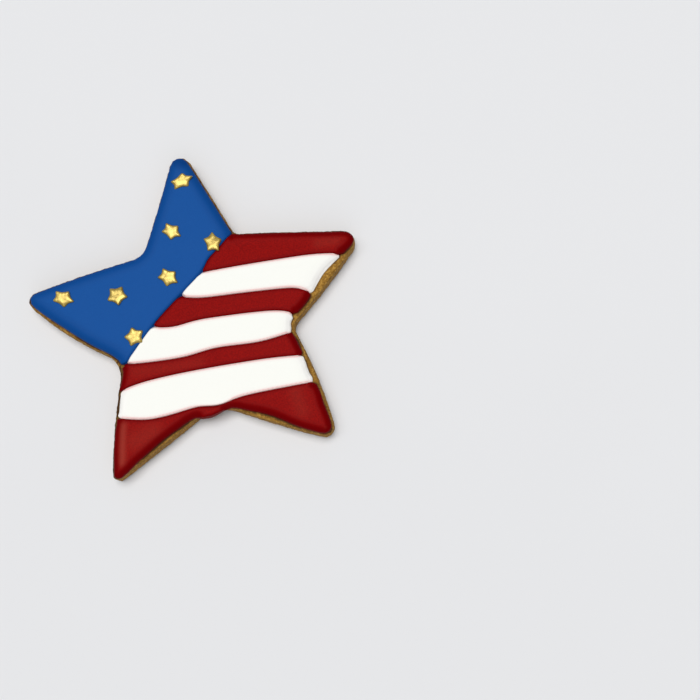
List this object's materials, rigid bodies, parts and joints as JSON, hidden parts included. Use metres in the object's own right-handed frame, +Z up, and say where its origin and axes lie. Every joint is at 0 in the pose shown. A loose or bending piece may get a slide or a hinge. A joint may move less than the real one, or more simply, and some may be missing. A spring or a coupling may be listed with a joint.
{
  "type": "iced sugar cookie",
  "caption": "Five-pointed star sugar cookie with blue icing, red and white icing stripes and small gold sugar stars on the blue.",
  "frame": {"origin": "middle of the flat underside's box, on the surface the cookie lies on", "axes": "+Z up out of the icing, +Y towards the top arm of the star, +X to the right when the cookie is seen from above with that arm away from the viewer"},
  "size_m": [0.0998, 0.1002, 0.0103],
  "materials": {
    "baked_dough": "baked sugar-cookie dough, matt, finely porous, browner along its edges and underneath",
    "blue_icing": "set icing, smooth with a satin sheen",
    "red_icing": "set icing, smooth with a satin sheen, faintly mottled",
    "white_icing": "set icing, smooth and puffy with a satin sheen",
    "gold_sugar": "pressed sugar with edible gold lustre, slightly wrinkled"
  },
  "bodies": {
    "root": {"cookie": "baked_dough", "blue_icing": "blue_icing", "red_stripe_1": "red_icing", "red_stripe_2": "red_icing", "red_stripe_3": "red_icing", "red_stripe_4": "red_icing", "white_stripe_1": "white_icing", "white_stripe_2": "white_icing", "white_stripe_3": "white_icing", "gold_star_1": "gold_sugar", "gold_star_2": "gold_sugar", "gold_star_3": "gold_sugar", "gold_star_4": "gold_sugar", "gold_star_5": "gold_sugar", "gold_star_6": "gold_sugar", "gold_star_7": "gold_sugar"}
  },
  "joints": []
}
